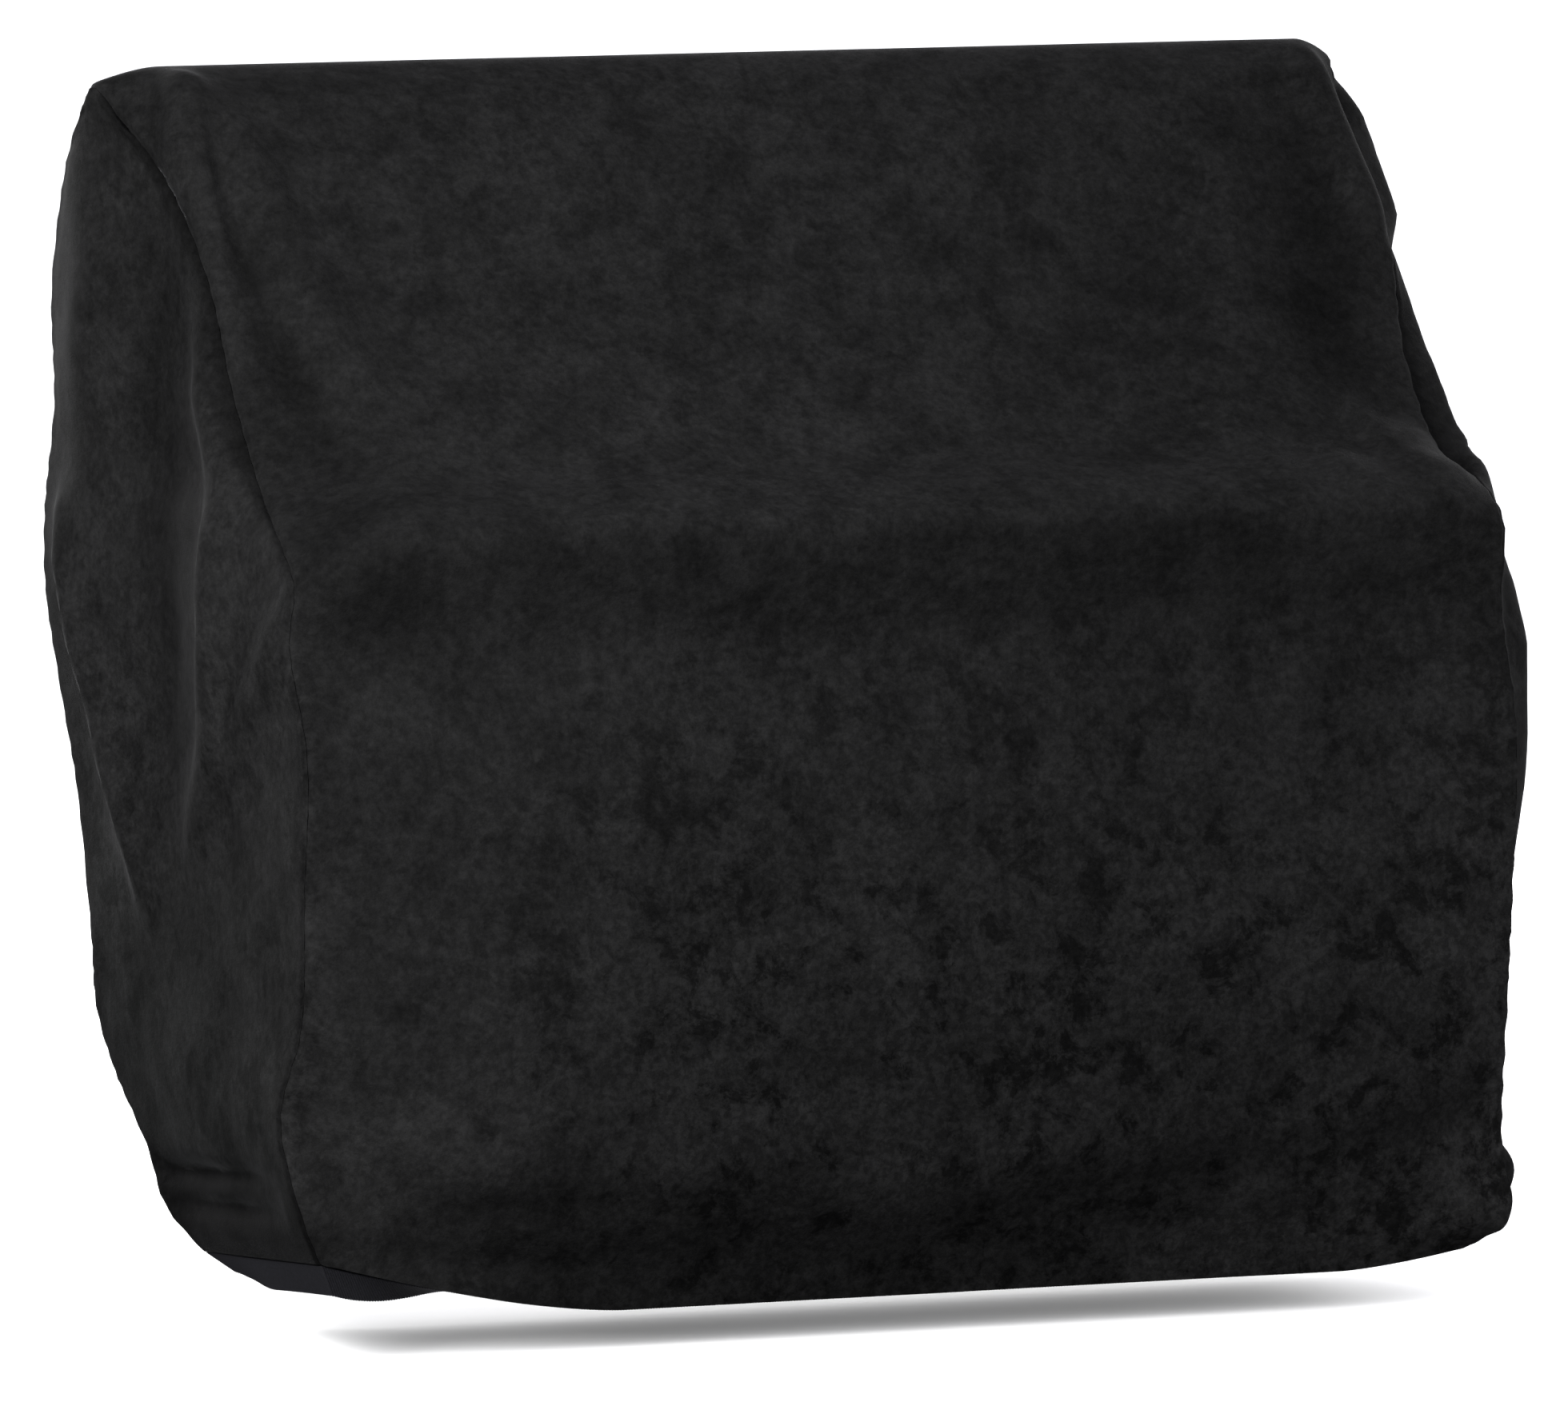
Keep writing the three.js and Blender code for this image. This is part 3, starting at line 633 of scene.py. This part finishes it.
def node(tree, kind, settings=None, **inputs):
    """A shader node with its settings and input values; an input may be another node's socket."""
    made = tree.nodes.new(kind)
    for key, value in (settings or {}).items():
        setattr(made, key, value)
    for key, value in inputs.items():
        socket = input_socket(made, key)
        if isinstance(value, bpy.types.NodeSocket):
            tree.links.new(value, socket)
        else:
            socket.default_value = value
    return made


def new_material(name, values):
    """A material with values set on its shader: also its tree, its shader and the place on the piece."""
    material = bpy.data.materials.new(name)
    material.use_nodes = True
    tree = material.node_tree
    shader = tree.nodes["Principled BSDF"]
    for key, value in values.items():
        shader.inputs[key].default_value = value
    place = node(tree, "ShaderNodeTexCoord").outputs["Object"]
    return material, tree, shader, place


def noise(tree, place, scale, detail, roughness, distortion):
    values = {"Scale": scale, "Detail": detail, "Roughness": roughness, "Distortion": distortion}
    return node(tree, "ShaderNodeTexNoise", Vector=place, **values).outputs["Fac"]


def mix(tree, factor, a, b):
    return node(tree, "ShaderNodeMix", {"data_type": "FLOAT"}, _0=factor, _2=a, _3=b).outputs["Result"]


def ramp(tree, factor, stops):
    """A colour run between two stops, each a position and a colour."""
    made = node(tree, "ShaderNodeValToRGB", Fac=factor)
    for element, (position, colour) in zip(made.color_ramp.elements, stops):
        element.position = position
        element.color = (*colour, 1)
    return made.outputs["Color"]


def times(tree, a, b):
    return node(tree, "ShaderNodeMath", {"operation": "MULTIPLY"}, _0=a, _1=b).outputs["Value"]


def plus(tree, a, b):
    return node(tree, "ShaderNodeMath", {"operation": "ADD"}, _0=a, _1=b).outputs["Value"]


def span(tree, value, low, high, start, end):
    """A value run from low to high turned into one from start to end, held beyond."""
    limits = {"From_Min": low, "From_Max": high, "To_Min": start, "To_Max": end}
    return node(tree, "ShaderNodeMapRange", Value=value, **limits).outputs["Result"]


def velour_material():
    """Near-black velour: short strokes of crushed nap, darker patches and flecks, painted shade and painted
    light from the sheet's values, and a pale sheen.
    """
    material, tree, shader, place = new_material("velour", VELOUR_SHADER)
    nap = {name: noise(tree, place, *values) for name, values in NAP_NOISE.items()}

    def turned(value, name):
        return span(tree, value, *NAP_SPANS[name])

    # Painted shade and painted light: the sheet's values darken or lighten the colour
    shade_and_nap = node(tree, "ShaderNodeAttribute", {"attribute_name": "nap_and_painted_shade"}).outputs["Fac"]
    axes = node(tree, "ShaderNodeSeparateXYZ", Vector=place).outputs
    across = plus(tree, turned(axes["X"], "front"), turned(axes["X"], "left_side"))
    handled = times(tree, turned(axes["Z"], "low"), across)
    clustered = plus(tree, nap["nap_and_painted_shade"], turned(nap["broad"], "cluster"))
    flecks = times(tree, turned(clustered, "fleck"), handled)
    patches = times(tree, turned(clustered, "patch"), turned(handled, "patch_share"))
    stroke = mix(tree, turned(handled, "stroke_share"), 1.0, turned(nap["strokes"], "stroke"))
    shares = (
        turned(nap["soft"], "soft"),
        stroke,
        turned(patches, "darkening"),
        turned(flecks, "darkening"),
        turned(shade_and_nap, "shade_and_nap_factor"),
    )
    tone = turned(nap["blotches"], "tone")
    for share in shares:
        tone = times(tree, tone, share)
    lean = node(tree, "ShaderNodeBump", **LEAN_BUMP, Height=nap["blotches"]).outputs["Normal"]
    fuzz = node(tree, "ShaderNodeBump", **FUZZ_BUMP, Height=nap["pile"], Normal=lean).outputs["Normal"]
    colour = node(tree, "ShaderNodeCombineColor", Red=tone, Green=tone, Blue=tone).outputs["Color"]
    tree.links.new(colour, shader.inputs["Base Color"])
    tree.links.new(fuzz, shader.inputs["Normal"])
    return material


def elastic_material():
    """Bluish-black woven elastic."""
    material, tree, shader, place = new_material("elastic", ELASTIC_SHADER)
    thread = noise(tree, place, *THREAD_NOISE)
    weave = node(tree, "ShaderNodeBump", **WEAVE_BUMP, Height=thread).outputs["Normal"]
    tree.links.new(ramp(tree, thread, THREAD_COLOURS), shader.inputs["Base Color"])
    tree.links.new(weave, shader.inputs["Normal"])
    return material


def dress(piece, material, cad_node):
    """Gives a piece its material and has it ride and stand for its solid."""
    piece.data.materials.append(material)
    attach(piece, "root")
    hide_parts(cad_node)


# Camera: the photograph's view, 1960 by 1753 pixels
VIEW_AZIMUTH = math.radians(21.0)
VIEW_ELEVATION = math.radians(6.0)
VIEW_DISTANCE = 6000.0
VIEW_TARGET = np.array([-11.0, 110.0, 216.0])
IMAGE_WIDTH = 1960
PIXELS_A_MM = 3.3
SENSOR_WIDTH = 36.0
CLIP_END = 100.0


def make_camera():
    view = np.array([
        math.sin(VIEW_AZIMUTH) * math.cos(VIEW_ELEVATION),
        math.cos(VIEW_AZIMUTH) * math.cos(VIEW_ELEVATION),
        -math.sin(VIEW_ELEVATION),
    ])
    data = bpy.data.cameras.new("camera")
    data.sensor_fit = "HORIZONTAL"
    data.sensor_width = SENSOR_WIDTH
    data.lens = PIXELS_A_MM * VIEW_DISTANCE * SENSOR_WIDTH / IMAGE_WIDTH
    data.clip_end = CLIP_END
    camera = bpy.data.objects.new("camera", data)
    camera.location = Vector((VIEW_TARGET - view * VIEW_DISTANCE - ORIGIN) * MM)
    camera.rotation_euler = Vector(view).to_track_quat("-Z", "Y").to_euler()
    bpy.context.collection.objects.link(camera)
    bpy.context.scene.camera = camera


# Studio
FLOOR_HEIGHT = -15.0
FLOOR_HALF = 30000.0
FLOOR_SHADER = {
    "Base Color": (0.9, 0.9, 0.9, 1),
    "Roughness": 0.8,
    "Emission Color": (1, 1, 1, 1),
    "Emission Strength": 0.18,
}
SKY_LOW = 0.45
SKY_HIGH = 1.5
SKY_FULL_AT = 0.5
SKY_COLOUR = (0.99, 0.985, 1.03, 1)

# Area lights: where each stands, what it is aimed at, its size, and its power in watts
LIGHTS = {
    "near_left": ((-850, -600, 500), (-220, 90, 220), 500, 21),
    "front_right": ((1250, -420, 330), (220, 20, 150), 500, 9),
    "left_rim": ((-540, 1950, 760), (-250, 200, 250), 700, 42),
    "right_rim": ((1300, 1300, 700), (250, 150, 300), 700, 11),
}


def make_area_light(name, place, target, size, power):
    data = bpy.data.lights.new(name, "AREA")
    data.size = size * MM
    data.energy = power
    light = bpy.data.objects.new(name, data)
    light.location = Vector((np.array(place, float) - ORIGIN) * MM)
    aim = Vector(np.array(target, float) - np.array(place, float))
    light.rotation_euler = aim.to_track_quat("-Z", "Y").to_euler()
    bpy.context.collection.objects.link(light)


def make_sky():
    """Soft light from all round, brighter above."""
    world = bpy.data.worlds.new("studio")
    world.use_nodes = True
    tree = world.node_tree
    direction = node(tree, "ShaderNodeTexCoord").outputs["Generated"]
    axes = node(tree, "ShaderNodeSeparateXYZ", Vector=direction).outputs
    background = tree.nodes["Background"]
    background.inputs["Color"].default_value = SKY_COLOUR
    sky = span(tree, axes["Z"], 0.0, SKY_FULL_AT, SKY_LOW, SKY_HIGH)
    tree.links.new(sky, background.inputs["Strength"])
    bpy.context.scene.world = world
    bpy.context.scene.view_settings.view_transform = "Standard"


def make_floor():
    """A plain pale floor that throws no light back on the cloth."""
    corners = [(-1, -1), (1, -1), (1, 1), (-1, 1)]
    points = np.array([(x * FLOOR_HALF, y * FLOOR_HALF, FLOOR_HEIGHT) for x, y in corners])
    floor = mesh_object("floor", points, np.array([[0, 1, 2, 3]]))
    floor.data.materials.append(new_material("floor", FLOOR_SHADER)[0])
    floor.visible_diffuse = False
    floor.visible_glossy = False


def make_studio():
    make_sky()
    for name, settings in LIGHTS.items():
        make_area_light(name, *settings)
    make_floor()


make_camera()
make_studio()
velour = velour_material()
elastic = elastic_material()
seam_frames = {-1: seam_frame(-1, -1), 1: seam_frame(1, 1)}
main_panel = make_strip(seam_frames)
left_panel = make_side(
    "side_panel_left_cloth", -1, -1, LEFT_FOLDS, seam_frames[-1], WAVE_PHASE["left"], LEFT_NAP_AND_LIGHT
)
right_panel = make_side("side_panel_right_cloth", 1, 1, RIGHT_FOLDS, seam_frames[1], WAVE_PHASE["right"])
band = make_band()
dress(main_panel, velour, "main_panel")
dress(left_panel, velour, "side_panel_left")
dress(right_panel, velour, "side_panel_right")
dress(band, elastic, "hem_elastic")
